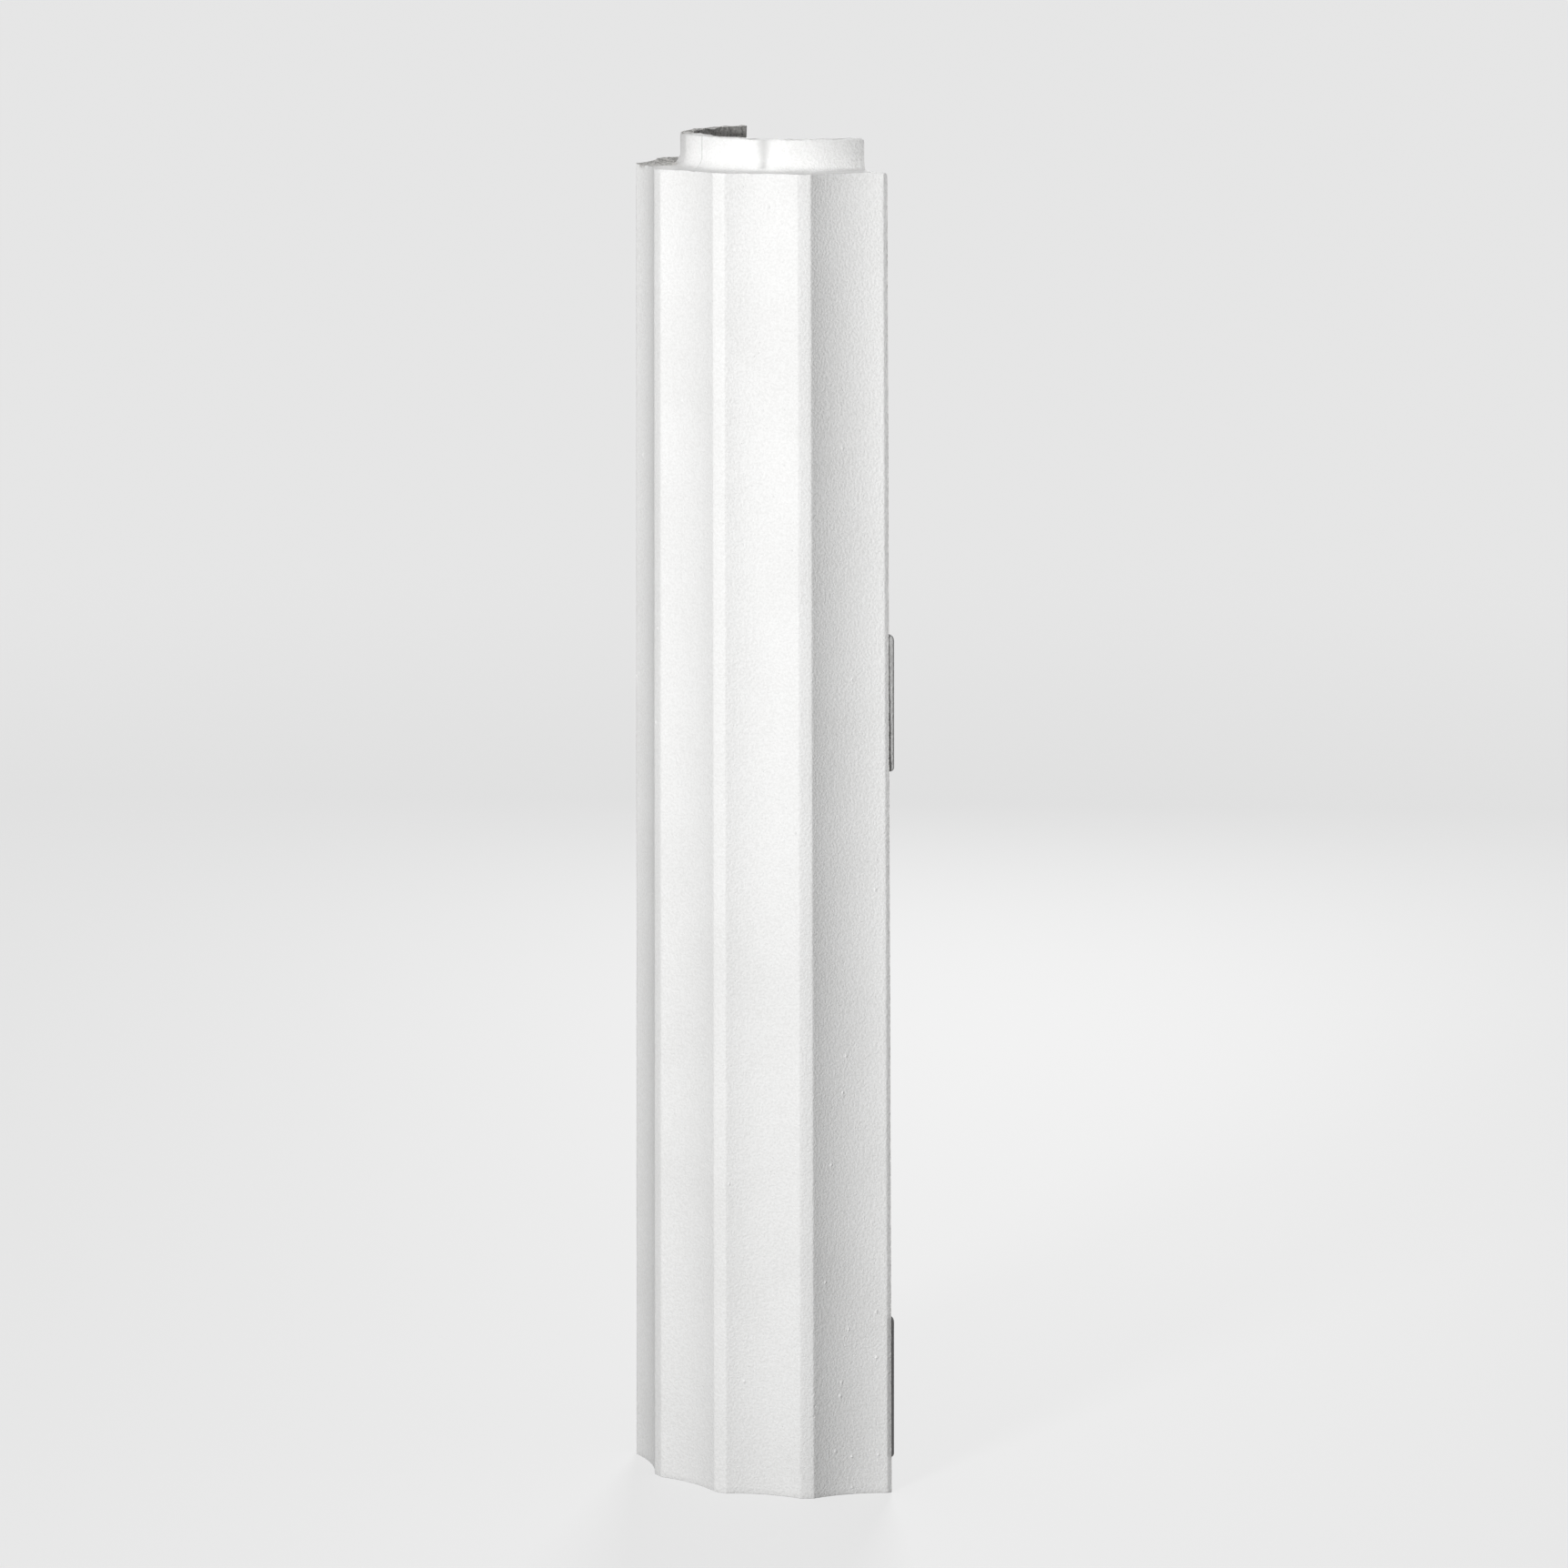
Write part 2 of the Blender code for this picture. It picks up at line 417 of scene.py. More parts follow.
def is_bare(vert):
    """True where no paint reaches: on the ledge, in the bore and under the foot."""
    faces_axis = vert.normal.xy.dot(vert.co.xy) < 0
    return vert.normal.z > FACING_UP or vert.normal.z < FACING_DOWN or faces_axis


def cast_surface(work):
    """Push the skin inwards in long waves and the bare foam in small lumps; return the deepest push."""
    work.normal_update()
    deepest = 0
    for vert in work.verts:
        wave = 0.5 - 0.5 * noise.noise(vert.co / WAVE_LENGTH)
        push = -WAVE_DEPTH * wave
        if is_bare(vert):
            lump = LUMP_DEPTH * (noise.fractal(vert.co / LUMP_LENGTH, 1, 2, LUMP_OCTAVES) - LUMP_SINK)
            push = min(lump * (1 + RAGGED * ease(angle_round(vert), RAGGED_FROM, RAGGED_TO)), 0)
        move = vert.normal * push
        if vert.co.z < A_HAIR:
            move.z = 0
        vert.co += move
        deepest = max(deepest, -push)
    return deepest


sunk = cast_surface(casting)
print("The skin waves by", 1000 * WAVE_DEPTH, "mm, and bare foam sinks up to", round(1000 * sunk, 2), "mm")

# %% [markdown]
# ## The neck as cast
#
# Round the neck of the real shaft, the mould has left its own marks: a swollen pad that starts with a
# sharp step, a soft groove that narrows downwards, and on the right a neck that rises from the ledge
# with hardly any fillet. The rim is a little higher on the pad than beside it. A moulder would call
# these marks of the tool. They could be painted on, but a step of less than a millimetre catches the
# light as no paint does, so each is a small push on the vertices that depends on the angle round the
# axis.

# %% Pad, groove and shrinking fillet
HOLLOW_FROM = math.radians(74)
PAD_FROM = math.radians(84.8)
PAD_PEAK = math.radians(98.5)
PAD_TO = math.radians(107)
PAD_START = PAD_FROM - (PAD_PEAK - PAD_FROM) / 4  # where the pad would start to swell without its step
HOLLOW_SINK = 0.0005
PAD_RISE = 0.0014
STEP_WIDTH = math.radians(0.02)
RIM_DROP = 0.0005  # how much lower the rim is beside the pad
GROOVE_AT = math.radians(48.7)
GROOVE_WIDTH = math.radians(3.2)
GROOVE_DEPTH = 0.0012
GROOVE_FOOT_WIDTH = 0.5  # its width and depth on the ledge, as shares of those at the rim
GROOVE_FOOT_DEPTH = 0.4
FILLET_FULL = math.radians(70)
FILLET_LEFT = 0.25  # what is left of the fillet's size at the right leg


def neck_faces(work):
    """The faces of the neck's outer side, from its fillet up to its rim."""
    return [
        face for face in work.faces
        if face.calc_center_median().z > SHAFT_HEIGHT + A_HAIR
        and face.calc_center_median().xy.length > NECK_RADIUS - RIM_ROUNDING
    ]


def each_once(parts):
    """The parts without repeats, in the order in which they come, which a set wouldn't keep."""
    return list(dict.fromkeys(parts))


def score(work, faces, place, normal):
    """Cut faces along a plane, without parting them."""
    edges = each_once(edge for face in faces for edge in face.edges)
    verts = each_once(vert for face in faces for vert in face.verts)
    bmesh.ops.bisect_plane(
        work, geom=[*verts, *edges, *faces], plane_co=place, plane_no=normal, dist=SNAP
    )


def past_step(angle):
    """0 before the pad's sharp step and 1 after it."""
    return ease(angle, PAD_FROM - STEP_WIDTH, PAD_FROM + STEP_WIDTH)


def pad_push(angle):
    """How far the neck stands out at an angle: a shallow hollow, a step and then the swollen pad."""
    hollow = -HOLLOW_SINK * ease(angle, HOLLOW_FROM, PAD_FROM)
    pad = PAD_RISE * ease(angle, PAD_START, PAD_PEAK)
    pad *= 1 - ease(angle, PAD_PEAK, PAD_TO)
    return hollow + (pad - hollow) * past_step(angle)


def groove_share(angle, up):
    """1 in the middle of the groove and 0 beside it, at a share of the neck's height."""
    width = GROOVE_WIDTH * (GROOVE_FOOT_WIDTH + (1 - GROOVE_FOOT_WIDTH) * up)
    return math.exp(-(((angle - GROOVE_AT) / width) ** 2))


def up_the_neck(vert):
    """How high up the neck a vertex is: 0 on the ledge and 1 at the rim."""
    return (vert.co.z - SHAFT_HEIGHT) / NECK_HEIGHT


def lower_rim(work):
    """Let the neck's upper half sink a little towards the rim, everywhere but on the pad."""
    for vert in work.verts:
        upper_half = max(up_the_neck(vert) - 0.5, 0) * 2
        angle = angle_round(vert)
        on_pad = past_step(angle) * (1 - ease(angle, PAD_PEAK, PAD_TO))
        vert.co.z -= RIM_DROP * upper_half * (1 - on_pad)


def shape_neck(work):
    """Raise the pad, press the groove in and draw the fillet back towards the right leg."""
    for angle in (PAD_FROM - STEP_WIDTH, PAD_FROM + STEP_WIDTH):
        score(work, neck_faces(work), (0, 0, 0), Matrix.Rotation(-angle, 3, "Z") @ Vector((0, 1, 0)))
    for vert in each_once(vert for face in neck_faces(work) for vert in face.verts):
        angle = angle_round(vert)
        up = up_the_neck(vert)
        groove = GROOVE_DEPTH * (GROOVE_FOOT_DEPTH + (1 - GROOVE_FOOT_DEPTH) * up) * groove_share(angle, up)
        radius = out_from_axis(vert)
        flare = max(radius - NECK_RADIUS, 0)
        flare *= FILLET_LEFT + (1 - FILLET_LEFT) * ease(angle, 0, FILLET_FULL)
        wall = min(radius, NECK_RADIUS)
        vert.co.xy *= (wall + flare + pad_push(angle) - groove) / radius


shape_neck(casting)
lower_rim(casting)
print("The pad covers", round(math.degrees(PAD_TO - PAD_FROM)), "degrees of the neck")

# %% [markdown]
# ## Sawing the back
#
# The half round is sawn flat behind, where it meets a wall or its other half. `bisect_plane` does what
# the saw does, and `holes_fill` closes what it opened. On the right leg, handling or sanding has
# rounded the sawn corners of the ledge and the rim. A bevel would have to run through the fillet, so
# the faces near a corner are scored along a few planes behind each other instead, and their vertices
# are then eased down onto an arc.

# %% Saw, ease the corners and close the back
BACK_TRIM = 0.0016
SCORES = (0.0003, 0.0007, 0.0012, 0.0018, 0.0026, 0.0036)  # how far in front of the sawn back
SCORED_FROM = SHAFT_HEIGHT - 0.01
LEDGE_CORNER = 0.003
RIM_CORNER = 0.004


def drop_at(distance, radius):
    """How far an arc of this radius has dropped at a distance from the sawn back."""
    inwards = min(max(radius - distance, 0), radius)
    return radius - math.sqrt(radius ** 2 - inwards ** 2)


def ease_corners(work):
    """Round the right leg's corners, on the ledge and on the neck."""
    for depth in SCORES:
        faces = [
            face for face in work.faces
            if face.verts[0].co.x > 0 and face.calc_center_median().z > SCORED_FROM
        ]
        score(work, faces, (0, -BACK_TRIM - depth, 0), (0, 1, 0))
    for vert in work.verts:
        behind = -vert.co.y - BACK_TRIM
        if vert.co.x < 0 or behind > RIM_CORNER or vert.co.z < SHAFT_HEIGHT - LEDGE_CORNER:
            continue
        if out_from_axis(vert) > NECK_RADIUS + NECK_FILLET / 2:
            vert.co.z = min(vert.co.z, SHAFT_HEIGHT - drop_at(behind, LEDGE_CORNER))
        else:
            vert.co.z = min(vert.co.z, RIM_HEIGHT - drop_at(behind, RIM_CORNER))


def saw_back(work):
    """Cut away what lies behind the back's plane, round the corners and close both legs."""
    bmesh.ops.bisect_plane(
        work, geom=work.verts[:] + work.edges[:] + work.faces[:],
        plane_co=(0, -BACK_TRIM, 0), plane_no=(0, 1, 0), clear_outer=True, dist=SNAP,
    )
    ease_corners(work)
    open_edges = [edge for edge in work.edges if edge.is_boundary]
    bmesh.ops.holes_fill(work, edges=open_edges, sides=0)
    bmesh.ops.recalc_face_normals(work, faces=work.faces)


def tell_volume(work, done):
    """Print the casting's volume, and how many of its edges are open."""
    open_edges = sum(not edge.is_manifold for edge in work.edges)
    print(done, "volume", round(work.calc_volume() * 1000, 2), "litres,", open_edges, "open edges")


saw_back(casting)
tell_volume(casting, "Sawn and closed:")

# %% [markdown]
# ## Tongues and rebates
#
# Two tongues stand on the right leg's sawn face, hardly inside the outline, and two rebates in the
# left leg's back edge take the tongues of the other half. In the foam they are one with the wall. A
# Boolean could join and cut them, but on a fine mesh it leaves slivers. Here, each one starts as a
# window that is scored into the surface, and `extrude_face_region` pushes the window out or in. The
# nose is rounded like a real key: a wide bevel at its upper end, a smaller one at its foot and a narrow
# one along its sides.

# %% Push the keys out and in
TONGUES = {"lower": (0.0255, 0.1113), "upper": (0.5537, 0.1039)}  # each one's foot and length
TONGUE_REACH = 0.006
TONGUE_THICKNESS = 0.012
TONGUE_INSET = 0.005
TONGUE_TOP_CORNER = 0.0055
TONGUE_FOOT_CORNER = 0.003
TONGUE_CORNER_STEPS = 5
TONGUE_EDGE = 0.0025
TONGUE_EDGE_STEPS = 4
REBATE_CLEARANCE = 0.001
REBATE_FLOOR = -BACK_TRIM - TONGUE_REACH - REBATE_CLEARANCE
KEY_OUTSIDE = FOOT_RADIUS - TONGUE_INSET
KEY_INSIDE = KEY_OUTSIDE - TONGUE_THICKNESS
FACING_BACK = 0.99  # least y of a normal that counts as the sawn back's
ACROSS = Vector((1, 0, 0))


def score_window(work, least, most):
    """Score a window into the sawn back, from one corner to the other, and return its face."""
    middle = (least + most) / 2
    for place, normal in ((least, UP), (most, UP), (least, ACROSS), (most, ACROSS)):
        back = []
        for face in work.faces:
            heights = [vert.co.z for vert in face.verts]
            same_leg = face.verts[0].co.x * middle.x > 0
            if face.normal.y > FACING_BACK and same_leg and min(heights) < middle.z < max(heights):
                back.append(face)
        score(work, back, place, normal)
    work.normal_update()
    return min(work.faces, key=lambda face: (face.calc_center_bounds() - middle).length)


def extrude(work, faces):
    """Extrude faces, drop what stays behind and return the vertices of the new faces."""
    made = bmesh.ops.extrude_face_region(work, geom=faces)["geom"]
    bmesh.ops.delete(work, geom=[face for face in faces if face.is_valid], context="FACES_ONLY")
    bmesh.ops.delete(work, geom=[edge for edge in work.edges if edge.is_wire], context="EDGES")
    bmesh.ops.delete(work, geom=[vert for vert in work.verts if not vert.link_edges], context="VERTS")
    return [part for part in made if isinstance(part, bmesh.types.BMVert)]


def push_tongue(work, foot, length):
    """Push a window of the right leg's back out for a tongue, and round its nose."""
    least = Vector((KEY_INSIDE, -BACK_TRIM, foot))
    most = Vector((KEY_OUTSIDE, -BACK_TRIM, foot + length))
    nose = extrude(work, [score_window(work, least, most)])
    bmesh.ops.translate(work, verts=nose, vec=(0, TONGUE_REACH, 0))
    edges = each_once(edge for vert in nose for edge in vert.link_edges)
    ends = [edge for edge in edges if abs(edge.verts[0].co.x - edge.verts[1].co.x) > A_HAIR]
    ends.sort(key=lambda edge: edge.verts[0].co.z)
    round_off(work, ends[-1:], TONGUE_TOP_CORNER, TONGUE_CORNER_STEPS)
    round_off(work, ends[:1], TONGUE_FOOT_CORNER, TONGUE_CORNER_STEPS)
    sides = []
    for edge in work.edges:
        places = [vert.co for vert in edge.verts]
        in_window = all(least[i] - A_HAIR < place[i] < most[i] + A_HAIR for place in places for i in (0, 2))
        pushed = any(place.y > -BACK_TRIM + SNAP for place in places)
        if in_window and pushed and abs(places[0].x - places[1].x) < A_HAIR:
            sides.append(edge)
    round_off(work, sides, TONGUE_EDGE, TONGUE_EDGE_STEPS)


def back_edge(work, bottom, top):
    """The faces of the left leg's back and skin that a rebate between two heights reaches."""
    found = []
    for face in work.faces:
        centre = face.calc_center_median()
        heights = [vert.co.z for vert in face.verts]
        back = face.normal.y > FACING_BACK and centre.x < 0 and centre.y > -BACK_TRIM - A_HAIR
        skin = centre.x < -KEY_INSIDE and centre.y > REBATE_FLOOR - 2 * REBATE_CLEARANCE
        if (back or skin) and min(heights) < top and max(heights) > bottom:
            found.append(face)
    return found


def push_rebate(work, foot, length):
    """Push the left leg's back edge in for a rebate that is open to the outside."""
    bottom, top = foot - REBATE_CLEARANCE, foot + length + REBATE_CLEARANCE
    inside = -KEY_INSIDE + REBATE_CLEARANCE
    for place, normal in (
        (Vector((0, 0, bottom)), UP), (Vector((0, 0, top)), UP),
        (Vector((0, REBATE_FLOOR, 0)), Vector((0, 1, 0))), (Vector((inside, 0, 0)), ACROSS),
    ):
        score(work, back_edge(work, bottom, top), place, normal)
    work.normal_update()
    window = []
    for face in back_edge(work, bottom, top):
        centre = face.calc_center_median()
        if bottom < centre.z < top and centre.x < inside and centre.y > REBATE_FLOOR:
            window.append(face)
    # The floor ends where the skin was scored, which is a little further in at every row up the taper
    corner = [vert for face in window for vert in face.verts if abs(vert.co.y - REBATE_FLOOR) < A_HAIR / 4]
    limits = kdtree.KDTree(len(corner))
    for number, vert in enumerate(corner):
        limits.insert((0, 0, vert.co.z), number)
    limits.balance()
    outside = [vert.co.x for vert in corner]
    pushed = extrude(work, window)
    for vert in pushed:
        vert.co.x = max(vert.co.x, outside[limits.find((0, 0, vert.co.z))[1]])
        vert.co.y = REBATE_FLOOR
    near = each_once(vert for part in pushed for edge in part.link_edges for vert in edge.verts)
    bmesh.ops.remove_doubles(work, verts=near, dist=A_HAIR / 2)


def add_keys(work):
    """Two tongues on the right leg, and two rebates for the other half's tongues in the left leg."""
    for foot, length in TONGUES.values():
        push_tongue(work, foot, length)
        push_rebate(work, foot, length)
    bmesh.ops.recalc_face_normals(work, faces=work.faces)


add_keys(casting)
tell_volume(casting, "Keyed:")

# %% [markdown]
# ## Blisters, nicks and chips
#
# Small faults are what tells a real casting from a drawing of one. Gas has left blisters under the
# paint, about a millimetre across, and a few knocks have nicked an arris and chipped the rim. A bump
# pattern could scatter such spots, but nobody could say where they are, and they would vanish from the
# mesh. So each is real: the faces below a spot are cut finer, and their vertices are lifted or sunk in
# a smooth dome. The blisters on the side that was photographed are where the picture has them, and a
# seeded random choice, the same in every run, adds some on the other sides.

# %% Work the small faults in
BLISTER_PIXELS = (
    (965.8, 1599.7), (936.5, 1601.7), (937.1, 1635.3), (918.7, 1595.7), (933.2, 1461.7), (925.3, 1520.2),
    (963.8, 1442.5), (963.8, 1492.5), (907.5, 1409.9), (845.2, 227.7), (860.0, 245.0),
)
NICK_PIXELS = ((894.0, 1533.0), (896.0, 1547.0), (895.0, 1558.0))
CHIP_ANGLES = (31.0, 34.5, 37.5)
BLISTER_SIZE = 0.0014
BLISTER_RISE = 0.0007
NICK_SIZE = 0.0014
NICK_SINK = 0.0005
CHIP_SIZE = 0.0022
CHIP_SINK = 0.0009
SPOT_CUTS = 5
SIZE_SPREAD = (0.8, 1.2)
SCATTER_HEIGHTS = (0.02, 0.98)
OTHER_BLISTERS = 34
SEED = 11


def photographed(tree, camera, pixels):
    """The places on the casting that pixels of the picture show."""
    found = []
    for across, down in pixels:
        start, way = photo_ray(camera, across, down)
        place = tree.ray_cast(start - AXIS, way)[0]
        if place is not None:
            found.append(place)
    return found


def scattered(tree, count, rng):
    """Places all round the flutes, chosen by a seeded random generator."""
    found = []
    while len(found) < count:
        angle = rng.uniform(0, math.pi)
        height = rng.uniform(*SCATTER_HEIGHTS)
        way = Matrix.Rotation(-angle, 3, "Z") @ Vector((-1, 0, 0))
        place = tree.ray_cast(Vector((0, 0, height)) - way, way)[0]
        if place is not None and FOOT_RADIUS - place.xy.length > FLUTE_SINK / 2:
            found.append(place)
    return found


def work_spots(work, spots):
    """Cut the faces below each spot finer, then lift or sink their vertices in a dome."""
    tree = BVHTree.FromBMesh(work)
    work.faces.ensure_lookup_table()
    centres = kdtree.KDTree(len(spots))
    normals = []
    touched = []
    for number, (place, size, _) in enumerate(spots):
        centres.insert(place, number)
        normals.append(tree.find_nearest(place)[1])
        touched += [found[2] for found in tree.find_nearest_range(place, size)]
    centres.balance()
    edges = each_once(edge for index in touched for edge in work.faces[index].edges)
    bmesh.ops.subdivide_edges(work, edges=edges, cuts=SPOT_CUTS, use_grid_fill=True)
    for vert in work.verts:
        place, number, distance = centres.find(vert.co)
        size, lift = spots[number][1:]
        if distance < size:
            vert.co += normals[number] * lift * (1 - (distance / size) ** 2) ** 2


tree = BVHTree.FromBMesh(casting)
rng = random.Random(SEED)
blisters = photographed(tree, camera, BLISTER_PIXELS) + scattered(tree, OTHER_BLISTERS, rng)
nicks = photographed(tree, camera, NICK_PIXELS)
chips = [
    Matrix.Rotation(-math.radians(angle), 3, "Z") @ Vector((NECK_RADIUS - RIM_ROUNDING / 2, 0, RIM_HEIGHT))
    for angle in CHIP_ANGLES
]
spots = [(place, BLISTER_SIZE * rng.uniform(*SIZE_SPREAD), BLISTER_RISE) for place in blisters]
spots += [(place, NICK_SIZE, -NICK_SINK) for place in nicks]
spots += [(place, CHIP_SIZE, -CHIP_SINK) for place in chips]
work_spots(casting, spots)
print(len(blisters), "blisters,", len(nicks), "nicks and", len(chips), "chips")

# %% [markdown]
# ## The piece, and where the paint ends
#
# The mesh becomes one object at the origin, like the solid it stands for. The material has to know
# where foam is bare. That could be a second material, but then paint would end in a hard line. A
# number on each vertex, 1 on bare foam and 0 under paint, fades over one face, like real overspray. The
# ledge has caught most of the spray on the right and hardly any on the far left. Beside the lower
# tongue the number is raised as painted shade. A second number says where shade is painted into the
# colour: grey paint along the pad's step, in the neck's groove and beside the lower tongue, and dark
# foam on the far left of the ledge, rim and bore.

# %% Make the object
PIECE = "shaft_casting"
SMOOTH_ANGLE = math.radians(32)
LEDGE_SPRAYED = 0.3  # how bare the ledge still is where the spray has reached it
TONGUE_SPRAYED = 0.35
REBATE_SIDE = 0.3  # least y of a normal on the rebate's floor, where it turns into the sides
# Painted shade: how grey the paint is made along the pad's step and beside the lower tongue.
PAINTED_SHADE_GREY = 0.6
PAINTED_SHADE_FROM = -0.1  # where the painted shade on the far-left foam starts, in heights of the neck above the ledge
BORE_SHADE_FADE_FROM = math.radians(135)  # in the bore, the painted shade fades from here towards the sawn back
BORE_SHADE_FADE_TO = math.radians(165)
# How much of the far-left painted shade is left in the bore beside the sawn back.
BORE_SHADE_LEFT = 0.25


def beside_tongue(vert):
    """True on the half listel beside the lower tongue, where shade is painted in: a coat as thin as on the
    tongue, and grey paint.
    """
    foot, length = TONGUES["lower"]
    return vert.co.x > KEY_OUTSIDE and vert.co.y > -LISTEL_WIDTH / 2 and foot < vert.co.z < foot + length


def bare_share(vert):
    """1 where the foam is bare, 0 where it is painted."""
    back = vert.co.y > -BACK_TRIM - A_HAIR
    # Beside the lower tongue, this thin coat lets the darker foam through as painted shade.
    if vert.co.y > -BACK_TRIM + A_HAIR or beside_tongue(vert):
        return TONGUE_SPRAYED
    on_floor = vert.normal.y > REBATE_SIDE and abs(vert.co.y - REBATE_FLOOR) < A_HAIR / 2
    in_rebate = vert.co.x < 0 and on_floor
    if vert.normal.z > FACING_UP and not back:
        return LEDGE_SPRAYED + (1 - LEDGE_SPRAYED) * ease(angle_round(vert), RAGGED_FROM, RAGGED_TO)
    return float(back or in_rebate or is_bare(vert))


def painted_shade_share(vert):
    """How much shade is painted in: grey paint along the pad's step, in the neck's groove and beside the
    lower tongue, and dark foam on the far left.
    """
    up = up_the_neck(vert)
    angle = angle_round(vert)
    if is_bare(vert):
        # Painted shade: bare foam on the ledge, rim and top of the bore is darkened on the far left; in the
        # bore it fades towards the left leg's sawn back.
        far_left_shade = (up > PAINTED_SHADE_FROM) * ease(angle, RAGGED_FROM, RAGGED_TO)
        in_bore = vert.normal.z < FACING_UP
        return far_left_shade * (1 - in_bore * (1 - BORE_SHADE_LEFT) * ease(angle, BORE_SHADE_FADE_FROM, BORE_SHADE_FADE_TO))
    # Painted shade on the half listel beside the lower tongue.
    if beside_tongue(vert):
        return PAINTED_SHADE_GREY
    if up < A_HAIR or out_from_axis(vert) > NECK_RADIUS + NECK_FILLET / 2:
        return 0
    # Painted shade: a grey line along the pad's step and a grey band down the neck's groove.
    return PAINTED_SHADE_GREY * (abs(angle - PAD_FROM) < 2 * STEP_WIDTH) + groove_share(angle, up)


def make_piece(work):
    """Write the casting to an object, with its bare places and its painted shade as attributes."""
    work.normal_update()
    bare = work.verts.layers.float.new("bare")
    painted_shade = work.verts.layers.float.new("painted_shade")
    for vert in work.verts:
        vert[bare] = bare_share(vert)
        # Painted shade: how much the colour is darkened here to stand in for shade.
        vert[painted_shade] = painted_shade_share(vert)
    bmesh.ops.translate(work, verts=work.verts, vec=AXIS)
    mesh = bpy.data.meshes.new(PIECE)
    work.to_mesh(mesh)
    work.free()
    mesh.shade_smooth()
    mesh.set_sharp_from_angle(angle=SMOOTH_ANGLE)
    piece = bpy.data.objects.new(PIECE, mesh)
    bpy.context.scene.collection.objects.link(piece)
    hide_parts(SOLID)
    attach(piece, "root")
    return piece


piece = make_piece(casting)
piece.data.calc_loop_triangles()
print("The piece has", len(piece.data.loop_triangles), "triangles")

# %% [markdown]
# ## Shader maths as Python
#
# A material is a graph, and long graphs are hard to read. A small class makes them read like sums: it
# wraps a socket, and `+`, `-` and `*` on it add Math nodes. Every other node comes from one method,
# which takes the node's type, its settings and what goes into its sockets.

# %% A wire and a workshop for materials
class Wire:
    """The output of a node. Arithmetic on it adds Math nodes."""

    def __init__(self, shop, socket):
        self.shop = shop
        self.socket = socket

    def maths(self, operation, first, second):
        """Add a Math node and return its output."""
        return self.shop.node("ShaderNodeMath", {"operation": operation}, {0: first, 1: second})

    def __add__(self, other):
        return self.maths("ADD", self, other)

    def __sub__(self, other):
        return self.maths("SUBTRACT", self, other)

    def __rsub__(self, other):
        return self.maths("SUBTRACT", other, self)

    def __mul__(self, other):
        return self.maths("MULTIPLY", self, other)

    __radd__ = __add__
    __rmul__ = __mul__


class Shop:
    """Makes the nodes of one material."""

    def __init__(self, name):
        self.material = bpy.data.materials.new(name)
        self.material.use_nodes = True
        self.tree = self.material.node_tree
        self.shader = self.tree.nodes["Principled BSDF"]
        self.place = Wire(self, self.tree.nodes.new("ShaderNodeTexCoord").outputs["Object"])

    def node(self, kind, settings, sockets, output=0):
        """Add a node, set it, connect it and return one of its outputs."""
        made = self.tree.nodes.new(kind)
        for name, value in settings.items():
            setattr(made, name, value)
        self.connect(made, sockets)
        return Wire(self, made.outputs[output])

    def connect(self, node, sockets):
        """Give a node's sockets their values or links."""
        for name, value in sockets.items():
            if isinstance(value, Wire):
                self.tree.links.new(value.socket, node.inputs[name])
            else:
                node.inputs[name].default_value = value

    def noise(self, size, detail=2.0, roughness=0.5):
        """A soft noise whose patches measure about this many metres."""
        sockets = {"Vector": self.place, "Scale": 1 / size, "Detail": detail, "Roughness": roughness}
        return self.node("ShaderNodeTexNoise", {}, sockets)

    def pits(self, size, jitter=1.0):
        """The distance to the nearest of many scattered points, this many metres apart."""
        sockets = {"Vector": self.place, "Scale": 1 / size, "Randomness": jitter}
        return self.node("ShaderNodeTexVoronoi", {"feature": "F1"}, sockets)

    def between(self, value, start, end):
        """0 below start and 1 above end, with a soft turn between them."""
        sockets = {"Value": value, "From Min": start, "From Max": end}
        return self.node("ShaderNodeMapRange", {"interpolation_type": "SMOOTHSTEP"}, sockets)

    def mix(self, share, first, second):
        """A colour between two others."""
        sockets = {"Factor": share, 6: first, 7: second}
        return self.node("ShaderNodeMix", {"data_type": "RGBA"}, sockets, output=2)

    def bump(self, height, depth, under=None):
        """A normal that is bent by a height, which is depth metres tall from 0 to 1."""
        sockets = {"Height": height, "Distance": depth}
        if under is not None:
            sockets["Normal"] = under
        return self.node("ShaderNodeBump", {}, sockets)


print("Ready to mix materials")

# %% [markdown]
# ## Primer over foam
#
# The real finish is a matt white primer. Close up it isn't even: it has the fine orange peel of a
# sprayed coat, pinholes where a bubble in the foam has drawn the paint in, and faint clouds where it
# lies thinner. Along the pad's step, in the neck's groove and beside the lower tongue, the paint is
# greyed as painted shade. Bare foam is darker and warmer, quite without gloss and open-celled, and on
# the far left it is darkened to near black as painted shade. Each of these could be an image, but a
# pattern made from the object's own coordinates has no seams and no stretch, and it keeps its size in
# millimetres.

# %% The finish
PRIMER_WHITE = (0.83, 0.83, 0.825, 1)
PRIMER_THIN = (0.73, 0.728, 0.72, 1)
# Painted shade: the grey that the paint is mixed to along the step, in the groove and beside the lower
# tongue.
PRIMER_PAINTED_SHADE = (0.56, 0.56, 0.555, 1)
FOAM_PALE = (0.78, 0.77, 0.75, 1)
FOAM_DARK = (0.5, 0.49, 0.47, 1)
# Painted shade: the near black that the far-left foam is mixed to.
FOAM_PAINTED_SHADE = (0.13, 0.127, 0.12, 1)
PRIMER_ROUGHNESS = 0.58
FOAM_ROUGHER = 0.3
FRAY_SIZE = 0.004  # how coarse the frayed edge of the paint is
CLOUD_SIZE = 0.07
PEEL_SIZE = 0.0018
PEEL_DEPTH = 0.0004
GRAIN_SIZE = 0.0005
PINHOLE_SPACING = 0.006
PINHOLE_DEPTH = 0.0002
CELL_SIZE = 0.0021
CLOT_SIZE = 0.005  # the clots that the foam's cells stand in
FOAM_DEPTH = 0.0009


